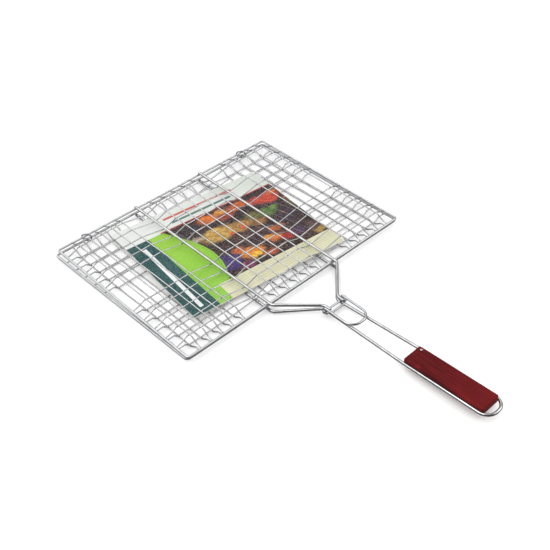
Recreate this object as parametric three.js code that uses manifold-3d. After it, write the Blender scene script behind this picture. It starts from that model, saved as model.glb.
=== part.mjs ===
// Hinged wire grill basket with a wooden grip.
// Millimetres, +Z up. The tray stands on z = 0 with the basket's centre over
// the origin, the hinge runs along X at the +Y edge and the grip points to -Y.
// "Far" means the hinge side (+Y), "near" the grip side (-Y).

import * as THREE from 'three';
import { mergeVertices } from 'three/addons/utils/BufferGeometryUtils.js';
import Module from 'manifold-3d';

const wasm = await Module();
wasm.setup();

const { degToRad, lerp } = THREE.MathUtils;

// ---------------------------------------------------------------- dimensions

// wire half thicknesses, measured between opposite flats
const THIN = 0.93;                 // grid wire
const HEAVY = 2.1;                 // handle wire and yoke
const TRAY_RIM_R = 1.85;
const LID_RIM_R = 1.75;
const BAIL_R = 1.7;
const TIE_R = 1.4;                 // short tie bars at the neck

// sides of the wires' polygon sections, and steps in each rounded corner
const THIN_SIDES = 6;
const HEAVY_SIDES = 8;
const BAIL_SIDES = 6;
const CORNER_STEPS = 4;

const GAP = 0.15;                  // between wires that are spot welded
const DIP_GAP = 0.2;               // between a cross wire's dip and the heavy wire

// rims, at the wire's centre line
const LID_HALF_W = 200;
const LID_HALF_L = 145;
const LID_CORNER = 4;
const TRAY_HALF_W_FAR = 202.75;
const TRAY_FAR_SHIFT = -1.75;      // the hand-bent tray rim is a little skew at its far side
const TRAY_HALF_W_NEAR = 200.5;
const TRAY_FAR = 145.5;
const TRAY_NEAR = -143.5;
const TRAY_CORNER = 5;

// grid spacing, the same in both halves: three groups of long wires, two
// groups of cross wires
const SIDE_START = 103;            // innermost long wire of each side group
const MIDDLE_EDGE = 40;            // outermost long wires of the middle group
const SIDE_X = spaced(SIDE_START, 18.75, 5);
const LONG_X = [...negated(SIDE_X), ...spaced(-MIDDLE_EDGE, 20, 5), ...SIDE_X];
const FAR_CROSS_Y = spaced(31.5, 22.5, 5);
const CROSS_Y = [...negated(FAR_CROSS_Y), ...FAR_CROSS_Y];

// each wire steps from the panel to the rim's level between two distances
// from the centre: [panel end, rim end]
const TRAY_STEP_X = [180.2, 185.8];
const TRAY_STEP_Y = [124.2, 134.5];
const LID_STEP_X = [181.5, 190.5];
const LID_STEP_Y = [126, 136.5];
const STRAND_X = 62.5;             // heavy wires that meet the cross wires' dips
const DIP_HALF = 2.6;              // half length of the flat at each dip

// tray levels
const TRAY_LONG_Z = THIN;
const TRAY_CROSS_Z = TRAY_LONG_Z + 2 * THIN + GAP;
const TRAY_RIM_Z = 7.2;
const TRAY_HEAVY_Z = TRAY_RIM_Z - TRAY_RIM_R - HEAVY - GAP;
const TRAY_DIP_Z = TRAY_HEAVY_Z + HEAVY + THIN + DIP_GAP;

// the tray's wires stop this far inside the rim's centre line
const TRAY_LONG_INSET = TRAY_RIM_R + 0.2;
const TRAY_CROSS_INSET = TRAY_LONG_INSET + 0.05;

// lid levels, above the centre of the lid's own rim
const LID_LONG_Z = 10.0;
const LID_CROSS_Z = LID_LONG_Z - 2 * THIN - GAP;
const LID_HEAVY_Z = LID_RIM_R + HEAVY + GAP;
const LID_DIP_Z = LID_HEAVY_Z - HEAVY - THIN - DIP_GAP;
const LID_END_Z = LID_RIM_R + THIN + GAP;
const LID_STEP_Z = LID_END_Z + 0.8;
const YOKE_NECK_Z = LID_HEAVY_Z - 1.2;  // the yoke drops a little towards the neck

// the lid's wires run this far past the rim's centre line
const LID_NEAR_OVERRUN = 1.2;
const LID_OVERRUN = 1.0;           // far edge and both sides

const LID_NEAR_Z = 10.95;          // lid rim's height at its near edge
const LID_TILT = degToRad(0.7);

// hinge rings
const RING_Y = 145.24;             // midway between the two far rims
const RING_Z = 10.85;
const RING_X = { hinge_ring_left: -151.8, hinge_ring_right: 151.5 };
const RING_R = 7.2;
const RING_WIRE_R = 1.0;
const RING_LEAN = degToRad(15);
const RING_TWIST = degToRad(40);

// grip ends, and the rails beside it
const GRIP_START = -338;
const GRIP_END = -456;
const RAIL_X = 16.8;
const RAIL_START = GRIP_START + 3; // the rails are parallel from here on
const RISE = 0.0292;               // rails climb this much per millimetre
const LOOP_END = -466.3;
const LOOP_CORNER = 15;

// neck, handle wire and yoke
const NECK_X = 12.5;
const NECK_Y = -200.5;
const NECK_Z = 6.8;
const STRAND_CORNER = 8;
const NECK_CORNER = 11;
const HANDLE_FAR_Y = 146.5;
const HANDLE_TURN_Y = -153.5;      // the strands turn in towards the neck
const TRAY_TIE_Y = -213;
const TRAY_TIE_HALF = NECK_X + 0.5;
const YOKE_FAR_Y = 145.8;
const YOKE_TURN_Y = -153;
const YOKE_END_Y = -212;
const YOKE_TIE_HALF = 21;
const TIE_HEAD_X = [19.9, 21.6];   // [inner face, outer face]
const TIE_HEAD_R = 2.7;

// locking bail
const PIVOT_Y = -207.5;
const PIVOT_Z = 10.7;
const BAIL_X = 17.2;
const EYE_R = 3.7;
const EYE_SWEEP = degToRad(263);
const EYE_STEPS = 11;
const BAIL_TOP = PIVOT_Z + EYE_R;
const BAIL_END = -255.5;
const BAIL_END_Z = 13.2;
const BAIL_CORNER = 15;
const BAIL_CORNER_STEPS = 5;

// grip, in its own frame: y = 0 at GRIP_START, z = 0 at the rails' centre line
const GRIP_TILT = Math.atan(RISE);
const GRIP_LENGTH = (GRIP_START - GRIP_END) / Math.cos(GRIP_TILT);
const GRIP_HALF_W = 16.1;
const GRIP_UP = 6.9;
const GRIP_DOWN = 4.4;
const GRIP_EDGE = 2.2;             // rounding of the long edges
const GRIP_CHAMFER = 1.6;          // upright corners
const GROOVE_FAR_Y = 8;            // the groove's cutter starts beyond the grip
const GROOVE_R = HEAVY + 0.3;
const PIN_X = 11.0;
const PIN_Y = -6.5;
const HOLE_R = 1.5;
const HOLE_DEPTH = 10;
const HOLE_OVERRUN = 2;            // the hole's cutter stands out of the grip
// [radius, height above the grip's top]
const PIN_PROFILE = [[0, -9], [1.15, -9], [1.15, 0.3], [1.9, 0.3], [1.5, 0.8], [0, 1.0]];

// insert card, lying on the tray wires' dips
const CARD_W = 259;
const CARD_L = 222;
const CARD_T = 0.6;
const CARD_TURN = degToRad(-6.5);
const CARD_X = -6;
const CARD_Y = 2;
const CARD_GAP = 0.2;
const CARD_Z = TRAY_DIP_Z + THIN + CARD_GAP + CARD_T / 2;

// ------------------------------------------------------------------ materials

function chrome(name) {
  return new THREE.MeshStandardMaterial({ name, color: 0xc9ccd1, roughness: 0.18, metalness: 1 });
}

function lacqueredWood() {
  return new THREE.MeshStandardMaterial({
    name: 'lacquered_wood', color: 0x5a1216, roughness: 0.35, metalness: 0,
  });
}

function printedCard() {
  return new THREE.MeshStandardMaterial({
    name: 'printed_card', color: 0xdfe6dc, roughness: 0.6, metalness: 0,
  });
}

// -------------------------------------------------------------------- helpers

function spaced(start, pitch, count) {
  return Array.from({ length: count }, (_, i) => start + i * pitch);
}

function negated(values) {
  return values.map((value) => -value).reverse();
}

function point(x, y, z = 0) {
  return new THREE.Vector3(x, y, z);
}

// a path's +X half, followed by its mirror image run backwards
function mirrored(half) {
  return [...half, ...half.map((p) => point(-p.x, p.y, p.z)).reverse()];
}

// closed polygon through the points' x and y
function outline(points, Kind = THREE.Shape) {
  const path = new Kind(points);
  path.closePath();
  return path;
}

// a path through given points, with one section at each point that stands in
// the bend's bisecting plane
class WirePath extends THREE.Curve {
  constructor(points, up) {
    super();
    this.points = points;
    this.up = up;
  }

  getPointAt(u) {
    return this.points[Math.round(u * (this.points.length - 1))].clone();
  }

  computeFrenetFrames() {
    const { points } = this;
    const last = points.length - 1;
    const direction = (i) => (i >= 0 && i < last
      ? points[i + 1].clone().sub(points[i]).normalize()
      : point(0, 0));
    const tangents = points.map((_, i) => direction(i - 1).add(direction(i)).normalize());
    const normals = [];
    const binormals = [];
    tangents.forEach((tangent, i) => {
      const normal = (i ? normals[i - 1] : this.up).clone();
      if (i) {
        const bend = new THREE.Quaternion().setFromUnitVectors(tangents[i - 1], tangent);
        normal.applyQuaternion(bend);
      }
      normal.addScaledVector(tangent, -normal.dot(tangent)).normalize();
      normals.push(normal);
      binormals.push(tangent.clone().cross(normal));
    });
    return { tangents, normals, binormals };
  }
}

// regular polygon with flats at right angles to the path's normal
function section(halfThickness, sides) {
  const radius = halfThickness / Math.cos(Math.PI / sides);
  return outline(Array.from({ length: sides }, (_, i) => {
    const angle = Math.PI / sides + (2 * Math.PI * i) / sides;
    return point(radius * Math.cos(angle), radius * Math.sin(angle));
  }));
}

function wire(points, halfThickness, sides, up = point(0, 0, 1)) {
  return new THREE.ExtrudeGeometry(section(halfThickness, sides), {
    steps: points.length - 1,
    bevelEnabled: false,
    curveSegments: 1,
    extrudePath: new WirePath(points, up),
  });
}

// replaces each inner corner of a polyline with an arc; radii is one radius
// for all corners or a list, where 0 leaves a corner sharp
function rounded(points, radii) {
  const last = points.length - 1;
  const out = [points[0].clone()];
  for (let i = 1; i < last; i++) {
    const radius = Array.isArray(radii) ? radii[i - 1] : radii;
    const corner = points[i];
    if (!radius) {
      out.push(corner.clone());
      continue;
    }
    const back = points[i - 1].clone().sub(corner).normalize();
    const ahead = points[i + 1].clone().sub(corner).normalize();
    const half = back.angleTo(ahead) / 2;
    const reach = radius / Math.tan(half);
    const centre = back.clone().add(ahead).normalize()
      .multiplyScalar(radius / Math.sin(half)).add(corner);
    const start = corner.clone().addScaledVector(back, reach).sub(centre);
    const end = corner.clone().addScaledVector(ahead, reach).sub(centre);
    const axis = start.clone().cross(end).normalize();
    const turn = start.angleTo(end);
    for (let k = 0; k <= CORNER_STEPS; k++) {
      out.push(start.clone().applyAxisAngle(axis, (turn * k) / CORNER_STEPS).add(centre));
    }
  }
  out.push(points[last].clone());
  return out;
}

// closed wire frame with an eight sided section; its far side may differ in
// width and be shifted along X
function frame({ farHalf, nearHalf, farShift = 0, far, near, corner, halfThickness }) {
  const flat = halfThickness * Math.tan(Math.PI / 8);
  const loop = (grow, Kind) => {
    const corners = [
      point(farHalf + grow + farShift, far + grow),
      point(farShift - farHalf - grow, far + grow),
      point(-nearHalf - grow, near - grow),
      point(nearHalf + grow, near - grow),
    ];
    const start = corners[0].clone().lerp(corners[3], 0.5);
    return outline(rounded([start, ...corners, start], corner + grow).slice(0, -1), Kind);
  };
  const shape = loop(flat, THREE.Shape);
  shape.holes.push(loop(-flat, THREE.Path));
  return new THREE.ExtrudeGeometry(shape, {
    depth: 2 * flat,
    steps: 1,
    bevelEnabled: true,
    bevelSegments: 1,
    bevelThickness: halfThickness - flat,
    bevelSize: halfThickness - flat,
    curveSegments: 1,
  }).translate(0, 0, -flat);
}

function toSolid(geometry) {
  const bare = new THREE.BufferGeometry();
  bare.setAttribute('position', geometry.getAttribute('position'));
  bare.setIndex(geometry.index);
  const merged = mergeVertices(bare, 1e-4);
  return new wasm.Manifold(new wasm.Mesh({
    numProp: 3,
    vertProperties: new Float32Array(merged.attributes.position.array),
    triVerts: new Uint32Array(merged.index.array),
  }));
}

function fromSolid(solid) {
  const { vertProperties, triVerts } = solid.getMesh();
  const geometry = new THREE.BufferGeometry();
  geometry.setAttribute('position', new THREE.BufferAttribute(new Float32Array(vertProperties), 3));
  geometry.setIndex(new THREE.BufferAttribute(new Uint32Array(triVerts), 1));
  geometry.computeVertexNormals();
  return geometry;
}

const basket = new THREE.Group();
basket.name = 'grill_basket';

function add(name, geometry, material, parent = basket) {
  const mesh = new THREE.Mesh(geometry, material);
  mesh.name = name;
  parent.add(mesh);
  return mesh;
}

// ----------------------------------------------------------------------- grid

function longPath(x, { nearY, farY, endZ, stepY, stepZ, longZ }) {
  const [panelY, rimY] = stepY;
  return [
    point(x, nearY, endZ),
    point(x, -rimY, stepZ),
    point(x, -panelY, longZ),
    point(x, panelY, longZ),
    point(x, rimY, stepZ),
    point(x, farY, endZ),
  ];
}

// runs from +X to -X and dips to each heavy wire
function crossPath(y, { endsX, endZ, stepX, stepZ, crossZ, dipZ }) {
  const [panelX, rimX] = stepX;
  const [right, left] = endsX(y);
  return [
    point(right, y, endZ),
    ...mirrored([
      point(rimX, y, stepZ),
      point(panelX, y, crossZ),
      point(SIDE_START, y, crossZ),
      point(STRAND_X + DIP_HALF, y, dipZ),
      point(STRAND_X - DIP_HALF, y, dipZ),
      point(MIDDLE_EDGE, y, crossZ),
    ]),
    point(left, y, endZ),
  ];
}

// grid wires are laid out about the panel's centre, then moved to centreY
function addGrid(half, parent, centreY, layout) {
  const addWires = (kind, places, path) => places.forEach((place, i) => {
    const name = `${half}_${kind}_wire`;
    const geometry = wire(path(place, layout), THIN, THIN_SIDES).translate(0, centreY, 0);
    add(`${name}_${String(i + 1).padStart(2, '0')}`, geometry, chrome(`${name}_chrome`), parent);
  });
  addWires('long', LONG_X, longPath);
  addWires('cross', CROSS_Y, crossPath);
}

// ----------------------------------------------------------------------- tray

function addTrayRim() {
  const rim = frame({
    farHalf: TRAY_HALF_W_FAR,
    nearHalf: TRAY_HALF_W_NEAR,
    farShift: TRAY_FAR_SHIFT,
    far: TRAY_FAR,
    near: TRAY_NEAR,
    corner: TRAY_CORNER,
    halfThickness: TRAY_RIM_R,
  });
  add('tray_rim', rim.translate(0, 0, TRAY_RIM_Z), chrome('tray_rim_chrome'));
}

// ends of a cross wire against the inside of the skew rim: [+X end, -X end]
function trayEndsX(y) {
  const along = (y - TRAY_NEAR) / (TRAY_FAR - TRAY_NEAR);
  const half = lerp(TRAY_HALF_W_NEAR, TRAY_HALF_W_FAR, along) - TRAY_CROSS_INSET;
  const skew = along * TRAY_FAR_SHIFT;
  return [skew + half, skew - half];
}

function addTrayGrid() {
  addGrid('tray', basket, 0, {
    nearY: TRAY_NEAR + TRAY_LONG_INSET,
    farY: TRAY_FAR - TRAY_LONG_INSET,
    endsX: trayEndsX,
    endZ: TRAY_RIM_Z,
    stepX: TRAY_STEP_X,
    stepY: TRAY_STEP_Y,
    stepZ: TRAY_RIM_Z,
    longZ: TRAY_LONG_Z,
    crossZ: TRAY_CROSS_Z,
    dipZ: TRAY_DIP_Z,
  });
}

function railZ(y) {
  return NECK_Z + (NECK_Y - y) * RISE;
}

// one wire runs from the far rim under the tray, in to the neck, along the
// rails, round the hanging loop and back the same way
function addHandleWire() {
  const corners = mirrored([
    point(STRAND_X, HANDLE_FAR_Y, TRAY_HEAVY_Z),
    point(STRAND_X, HANDLE_TURN_Y, TRAY_HEAVY_Z),
    point(NECK_X, NECK_Y, NECK_Z),
    point(RAIL_X, RAIL_START, railZ(RAIL_START)),
    point(RAIL_X, LOOP_END, railZ(LOOP_END)),
  ]);
  // the slight bend at the rails' start stays sharp
  const radii = [STRAND_CORNER, NECK_CORNER, 0, LOOP_CORNER];
  const path = rounded(corners, [...radii, ...[...radii].reverse()]);
  const tieEnds = [-TRAY_TIE_HALF, TRAY_TIE_HALF]
    .map((x) => point(x, TRAY_TIE_Y, railZ(TRAY_TIE_Y)));
  const tie = toSolid(wire(tieEnds, TIE_R, HEAVY_SIDES));
  const handle = toSolid(wire(path, HEAVY, HEAVY_SIDES)).add(tie);
  add('handle_wire', fromSolid(handle), chrome('handle_wire_chrome'));
}

// rings that hold the two far rims together and let the lid turn
function addHingeRings() {
  for (const [name, x] of Object.entries(RING_X)) {
    const torus = new THREE.TorusGeometry(RING_R, RING_WIRE_R, 8, 24).rotateY(Math.PI / 2);
    const ring = add(name, torus, chrome('hinge_ring_chrome'));
    ring.rotation.set(0, -RING_LEAN, RING_TWIST);
    ring.position.set(x, RING_Y, RING_Z);
  }
}

// ------------------------------------------------------------------------ lid

function addLidRim(lid) {
  const rim = frame({
    farHalf: LID_HALF_W,
    nearHalf: LID_HALF_W,
    far: LID_HALF_L,
    near: -LID_HALF_L,
    corner: LID_CORNER,
    halfThickness: LID_RIM_R,
  });
  add('lid_rim', rim.translate(0, LID_HALF_L, 0), chrome('lid_rim_chrome'), lid);
}

function addLidGrid(lid) {
  const endX = LID_HALF_W + LID_OVERRUN;
  addGrid('lid', lid, LID_HALF_L, {
    nearY: -LID_HALF_L - LID_NEAR_OVERRUN,
    farY: LID_HALF_L + LID_OVERRUN,
    endsX: () => [endX, -endX],
    endZ: LID_END_Z,
    stepX: LID_STEP_X,
    stepY: LID_STEP_Y,
    stepZ: LID_STEP_Z,
    longZ: LID_LONG_Z,
    crossZ: LID_CROSS_Z,
    dipZ: LID_DIP_Z,
  });
}

// two heavy strands over the lid, joined at the neck by a tie bar whose headed
// ends carry the bail
function addYoke(lid) {
  const strand = (side) => toSolid(wire(rounded([
    point(side * STRAND_X, YOKE_FAR_Y + LID_HALF_L, LID_HEAVY_Z),
    point(side * STRAND_X, YOKE_TURN_Y + LID_HALF_L, LID_HEAVY_Z),
    point(side * NECK_X, NECK_Y + LID_HALF_L, YOKE_NECK_Z),
    point(side * NECK_X, YOKE_END_Y + LID_HALF_L, YOKE_NECK_Z),
  ], [STRAND_CORNER, NECK_CORNER]), HEAVY, HEAVY_SIDES));
  const pivot = lid.worldToLocal(point(0, PIVOT_Y, PIVOT_Z));
  const bar = (x0, x1, radius) => {
    const ends = [x0, x1].map((x) => point(x, pivot.y, pivot.z));
    return toSolid(wire(ends, radius, HEAVY_SIDES));
  };
  const [headInner, headOuter] = TIE_HEAD_X;
  const yoke = strand(1)
    .add(strand(-1))
    .add(bar(-YOKE_TIE_HALF, YOKE_TIE_HALF, TIE_R))
    .add(bar(headInner, headOuter, TIE_HEAD_R))
    .add(bar(-headOuter, -headInner, TIE_HEAD_R));
  add('lid_yoke', fromSolid(yoke), chrome('lid_yoke_chrome'), lid);
}

// the lid's frame starts at the centre line of its near rim and leans up a
// little towards the hinge
function addLid() {
  const lid = new THREE.Group();
  lid.rotation.x = LID_TILT;
  lid.position.set(0, -LID_HALF_L, LID_NEAR_Z);
  basket.add(lid);
  addLidRim(lid);
  addLidGrid(lid);
  addYoke(lid);
}

// ----------------------------------------------------------------------- bail

// a U of wire with an open eye round each end of the yoke's tie bar
function addBail() {
  const half = [];
  for (let k = EYE_STEPS; k >= 0; k--) {
    const angle = (EYE_SWEEP * k) / EYE_STEPS;
    const y = PIVOT_Y + EYE_R * Math.sin(angle);
    half.push(point(BAIL_X, y, PIVOT_Z + EYE_R * Math.cos(angle)));
  }
  for (let k = 0; k <= BAIL_CORNER_STEPS; k++) {
    const angle = (Math.PI / 2) * (k / BAIL_CORNER_STEPS);
    const x = BAIL_X - BAIL_CORNER + BAIL_CORNER * Math.cos(angle);
    const y = BAIL_END + BAIL_CORNER - BAIL_CORNER * Math.sin(angle);
    const along = (PIVOT_Y - y) / (PIVOT_Y - BAIL_END);
    half.push(point(x, y, lerp(BAIL_TOP, BAIL_END_Z, along)));
  }
  const bail = wire(mirrored(half), BAIL_R, BAIL_SIDES, point(1, 0, 0));
  add('locking_bail', bail, chrome('bail_chrome'));
}

// ----------------------------------------------------------------------- grip

function gripBlock() {
  const halfW = GRIP_HALF_W - GRIP_EDGE;
  const farY = -GRIP_EDGE;
  const nearY = -GRIP_LENGTH + GRIP_EDGE;
  const plan = outline([
    point(halfW, farY - GRIP_CHAMFER),
    point(halfW - GRIP_CHAMFER, farY),
    point(-halfW + GRIP_CHAMFER, farY),
    point(-halfW, farY - GRIP_CHAMFER),
    point(-halfW, nearY + GRIP_CHAMFER),
    point(-halfW + GRIP_CHAMFER, nearY),
    point(halfW - GRIP_CHAMFER, nearY),
    point(halfW, nearY + GRIP_CHAMFER),
  ]);
  return new THREE.ExtrudeGeometry(plan, {
    depth: GRIP_UP + GRIP_DOWN - 2 * GRIP_EDGE,
    steps: 1,
    bevelEnabled: true,
    bevelSegments: 2,
    bevelThickness: GRIP_EDGE,
    bevelSize: GRIP_EDGE,
    curveSegments: 1,
  }).translate(0, 0, -GRIP_DOWN + GRIP_EDGE);
}

// cutter for the side grooves, which follows the wire into the loop
function grooveCutter() {
  const loopY = (LOOP_END - GRIP_START) / Math.cos(GRIP_TILT);
  const corners = mirrored([point(RAIL_X, GROOVE_FAR_Y), point(RAIL_X, loopY)]);
  return wire(rounded(corners, LOOP_CORNER), GROOVE_R, HEAVY_SIDES);
}

// cutter for the pin's blind hole
function holeCutter() {
  return new THREE.CylinderGeometry(HOLE_R, HOLE_R, HOLE_DEPTH + HOLE_OVERRUN, 10)
    .rotateX(Math.PI / 2)
    .translate(PIN_X, PIN_Y, GRIP_UP + (HOLE_OVERRUN - HOLE_DEPTH) / 2);
}

function addGrip() {
  const grip = new THREE.Group();
  grip.rotation.x = -GRIP_TILT;
  grip.position.set(0, GRIP_START, railZ(GRIP_START));
  basket.add(grip);

  const body = toSolid(gripBlock())
    .subtract(toSolid(grooveCutter()))
    .subtract(toSolid(holeCutter()));
  add('grip', fromSolid(body), lacqueredWood(), grip);

  const profile = PIN_PROFILE.map(([radius, height]) => new THREE.Vector2(radius, height));
  const pin = new THREE.LatheGeometry(profile, 12)
    .rotateX(Math.PI / 2)
    .translate(PIN_X, PIN_Y, GRIP_UP);
  add('grip_pin', pin, chrome('pin_chrome'), grip);
}

// ----------------------------------------------------------------------- card

function addCard() {
  const shape = outline([[-1, -1], [1, -1], [1, 1], [-1, 1]]
    .map(([sideX, sideY]) => point((sideX * CARD_W) / 2, (sideY * CARD_L) / 2)));
  const sheet = new THREE.ExtrudeGeometry(shape, { depth: CARD_T, steps: 1, bevelEnabled: false });
  const card = add('insert_card', sheet.translate(0, 0, -CARD_T / 2), printedCard());
  card.rotation.z = CARD_TURN;
  card.position.set(CARD_X, CARD_Y, CARD_Z);
}

// ------------------------------------------------------------------- assembly

addTrayRim();
addTrayGrid();
addHandleWire();
addHingeRings();
addLid();
addBail();
addGrip();
addCard();

export default basket;
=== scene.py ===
# A hinged wire basket with a long handle, in metres with +Z up. The tray lies flat and the lid
# is closed over it, tilted a little. The hinge rings are at the far (+Y) edge, and the handle
# with its wooden grip runs out towards -Y. A printed card lies on the tray's wires.
import math
import random
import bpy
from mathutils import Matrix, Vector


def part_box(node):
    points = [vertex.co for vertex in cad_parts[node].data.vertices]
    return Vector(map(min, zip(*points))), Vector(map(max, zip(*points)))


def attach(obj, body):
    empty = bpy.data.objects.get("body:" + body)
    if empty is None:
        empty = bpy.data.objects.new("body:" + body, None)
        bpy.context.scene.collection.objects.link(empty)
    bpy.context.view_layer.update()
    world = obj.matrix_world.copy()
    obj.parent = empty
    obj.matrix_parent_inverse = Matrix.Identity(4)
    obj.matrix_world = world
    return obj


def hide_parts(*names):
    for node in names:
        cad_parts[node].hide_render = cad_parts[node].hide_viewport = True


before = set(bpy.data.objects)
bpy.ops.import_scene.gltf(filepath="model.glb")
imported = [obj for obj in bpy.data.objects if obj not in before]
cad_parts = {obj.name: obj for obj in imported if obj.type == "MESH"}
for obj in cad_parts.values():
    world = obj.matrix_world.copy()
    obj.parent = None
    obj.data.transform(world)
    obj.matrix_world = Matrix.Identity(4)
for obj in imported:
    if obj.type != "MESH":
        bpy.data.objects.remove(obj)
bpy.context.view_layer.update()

from types import SimpleNamespace

import bmesh
import bpy
import numpy as np
from mathutils import Matrix, Vector

SCENE = bpy.context.scene
MM = 0.001

# ------------------------------------------------------------------ dimensions
# All in millimetres. "Near" is towards the handle (-Y) and "far" towards the hinge (+Y).


def z_range(node):
    """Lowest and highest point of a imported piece, so that a repack moves the looks with it."""
    low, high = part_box(node)
    return low[2] / MM, high[2] / MM


# wire radii
THIN_R = 0.96
HEAVY_R = 2.12
BAIL_R = 1.72
TIE_R = 1.42
RING_WIRE_R = 1.02

# grid wires: long ones run along Y and cross ones along X
STRAND_X = 62.5  # the heavy strands, one each side
MIDDLE_PITCH = 20
INNER_X, OUTER_X = 2 * MIDDLE_PITCH, 103  # the long wires on either side of a strand
LONG_SIDE = [OUTER_X + 18.75 * k for k in range(5)]
LONG_X = [-x for x in reversed(LONG_SIDE)] + [MIDDLE_PITCH * k for k in range(-2, 3)] + LONG_SIDE
CROSS_SIDE = [31.5 + 22.5 * k for k in range(5)]
CROSS_Y = [-y for y in reversed(CROSS_SIDE)] + CROSS_SIDE
END_GAP = 1.5  # wires stop this far inside the rim's centre line

# tray and lid
TRAY_RIM_Z = sum(z_range("tray_rim")) / 2
TRAY_HEAVY_Z = TRAY_RIM_Z - 4.1
LID_HALF_X, LID_HALF_Y = 200.0, 145.0
LID_TILT = math.radians(0.7)
LID_NEAR_Z = 10.95
LID_END_Z = 1.3
LID_HEAVY_Z = 4.0

# handle, in the row frame; the rails climb slowly towards the loop
NECK_X, NECK_Y, NECK_Z, RISE = 12.5, -200.5, 6.8, 0.0292
YOKE_NECK_Z = 2.8
RAIL_X = 16.8
GRIP_START, GRIP_END = -338.0, -456.0
LOOP_END, LOOP_CORNER = -466.3, 15.0
TRAY_TIE_Y = -213.0
PIVOT_Y, PIVOT_Z = -207.5, 10.7


def rail_z(y):
    return NECK_Z + (NECK_Y - y) * RISE


def tray_to_world(points):
    return np.asarray(points, float).reshape(-1, 3)


def lid_to_world(points):
    """Lid coordinates (height above the lid's own rim) to the row frame."""
    x, y, z = np.asarray(points, float).reshape(-1, 3).T
    c, s = math.cos(LID_TILT), math.sin(LID_TILT)
    y = y + LID_HALF_Y
    return np.stack([x, -LID_HALF_Y + y * c - z * s, LID_NEAR_Z + y * s + z * c], 1)


# far, near: rim edges in Y; far_half, near_half: half widths there; shift: X offset of the far edge
# step_x, step_y: where the side slope starts and ends; step_z: height at its outer end
# pass_z: height where cross wires pass a strand; pass_weld: from there to the weld
# end_weld: size across, along and up of a weld at the rim; lift: unevenness of the panel
TRAY = SimpleNamespace(
    body="tray", to_world=tray_to_world, seed=5000, bow_seed=92,
    far=145.5, near=-143.5, far_half=202.75, near_half=200.5, shift=-1.75,
    rim_r=1.88, rim_z=TRAY_RIM_Z, corner=5.0, seam=(-202.7, 20.0),
    long_z=0.93, cross_z=2.94, end_z=TRAY_RIM_Z, step_z=TRAY_RIM_Z,
    step_x=(180.2, 185.8), step_y=(124.2, 134.5), pass_z=TRAY_HEAVY_Z + 3.23, pass_weld=-0.75,
    weld_gap=1.9, weld_z=TRAY_RIM_Z, end_weld=(1.2, 0.75, 1.2), lift=0.0)
LID = SimpleNamespace(
    body="lid", to_world=lid_to_world, seed=1000, bow_seed=91,
    far=LID_HALF_Y, near=-LID_HALF_Y, far_half=LID_HALF_X, near_half=LID_HALF_X, shift=0.0,
    rim_r=1.78, rim_z=0.0, corner=4.0, seam=(90.0, LID_HALF_Y),
    long_z=10.0, cross_z=7.99, end_z=LID_END_Z, step_z=3.63,
    step_x=(181.5, 190.5), step_y=(126.0, 136.5), pass_z=0.77, pass_weld=0.75,
    weld_gap=END_GAP, weld_z=LID_END_Z - 0.1, end_weld=(1.15, 0.8, 1.0), lift=0.10)

# card
CARD_W, CARD_L = 259.0, 222.0
CARD_TURN, CARD_CENTRE = math.radians(-6.5), (-6.0, 2.0)

# --------------------------------------------------------------- shape helpers


def unit(vector):
    length = np.linalg.norm(vector)
    return vector / length if length > 1e-12 else vector


def fillet(points, radii, steps):
    """Round the inner corners of a path, with one radius for all or one for each."""
    points = [np.array(p, float) for p in points]
    out = [points[0]]
    for i in range(1, len(points) - 1):
        radius = radii[i - 1] if isinstance(radii, list) else radii
        before, corner, after = points[i - 1:i + 2]
        a, b = unit(before - corner), unit(after - corner)
        half = math.acos(max(-1.0, min(1.0, float(a @ b)))) / 2
        if half > math.pi / 2 - 0.012:  # nearly straight
            out.append(corner)
            continue
        reach = min(radius / math.tan(half), 0.48 * np.linalg.norm(before - corner),
                    0.48 * np.linalg.norm(after - corner))
        radius = reach * math.tan(half)
        centre = corner + unit(a + b) * (radius / math.sin(half))
        start, end = corner + a * reach - centre, corner + b * reach - centre
        turn = math.acos(max(-1.0, min(1.0, float(unit(start) @ unit(end)))))
        for k in range(steps + 1):
            t = k / steps
            arc = math.sin((1 - t) * turn) * start + math.sin(t * turn) * end
            out.append(centre + arc / max(math.sin(turn), 1e-9))
    out.append(points[-1])
    return np.array(out)


def subdivide(path, pieces):
    """Split each stretch of a path into pieces(start, end) equal parts."""
    out = [path[0]]
    for a, b in zip(path[:-1], path[1:]):
        n = pieces(a, b)
        for k in range(1, n + 1):
            out.append(a + (b - a) * k / n)
    return np.array(out)


def resample(path, step):
    return subdivide(path, lambda a, b: max(1, int(math.ceil(np.linalg.norm(b - a) / step))))


def mirrored(side):
    """A half path followed by its mirror image in X, back to the start's other side."""
    return side + [(-x, *rest) for x, *rest in reversed(side)]


def wave(seed, size):
    """A smooth random wander along a wire, as a function of millimetres."""
    g = random.Random(seed)
    # amplitude, wavelength and phase
    terms = [(g.uniform(0.5, 1.0), g.uniform(60, 230), g.uniform(0, 2 * math.pi))
             for _ in range(3)]
    total = sum(term[0] for term in terms)

    def offset(s):
        wander = sum(a * np.sin(2 * math.pi * s / length + p) for a, length, p in terms)
        return wander * size / total

    return offset


def ring_faces(count, sides, closed=False):
    """Quads between successive rings of vertices, with caps on an open shape."""
    faces = []
    for i in range(count if closed else count - 1):
        j = (i + 1) % count
        for k in range(sides):
            m = (k + 1) % sides
            faces.append((i * sides + k, i * sides + m, j * sides + m, j * sides + k))
    if not closed:
        faces.append(tuple(range(sides - 1, -1, -1)))
        faces.append(tuple((count - 1) * sides + k for k in range(sides)))
    return faces


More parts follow.
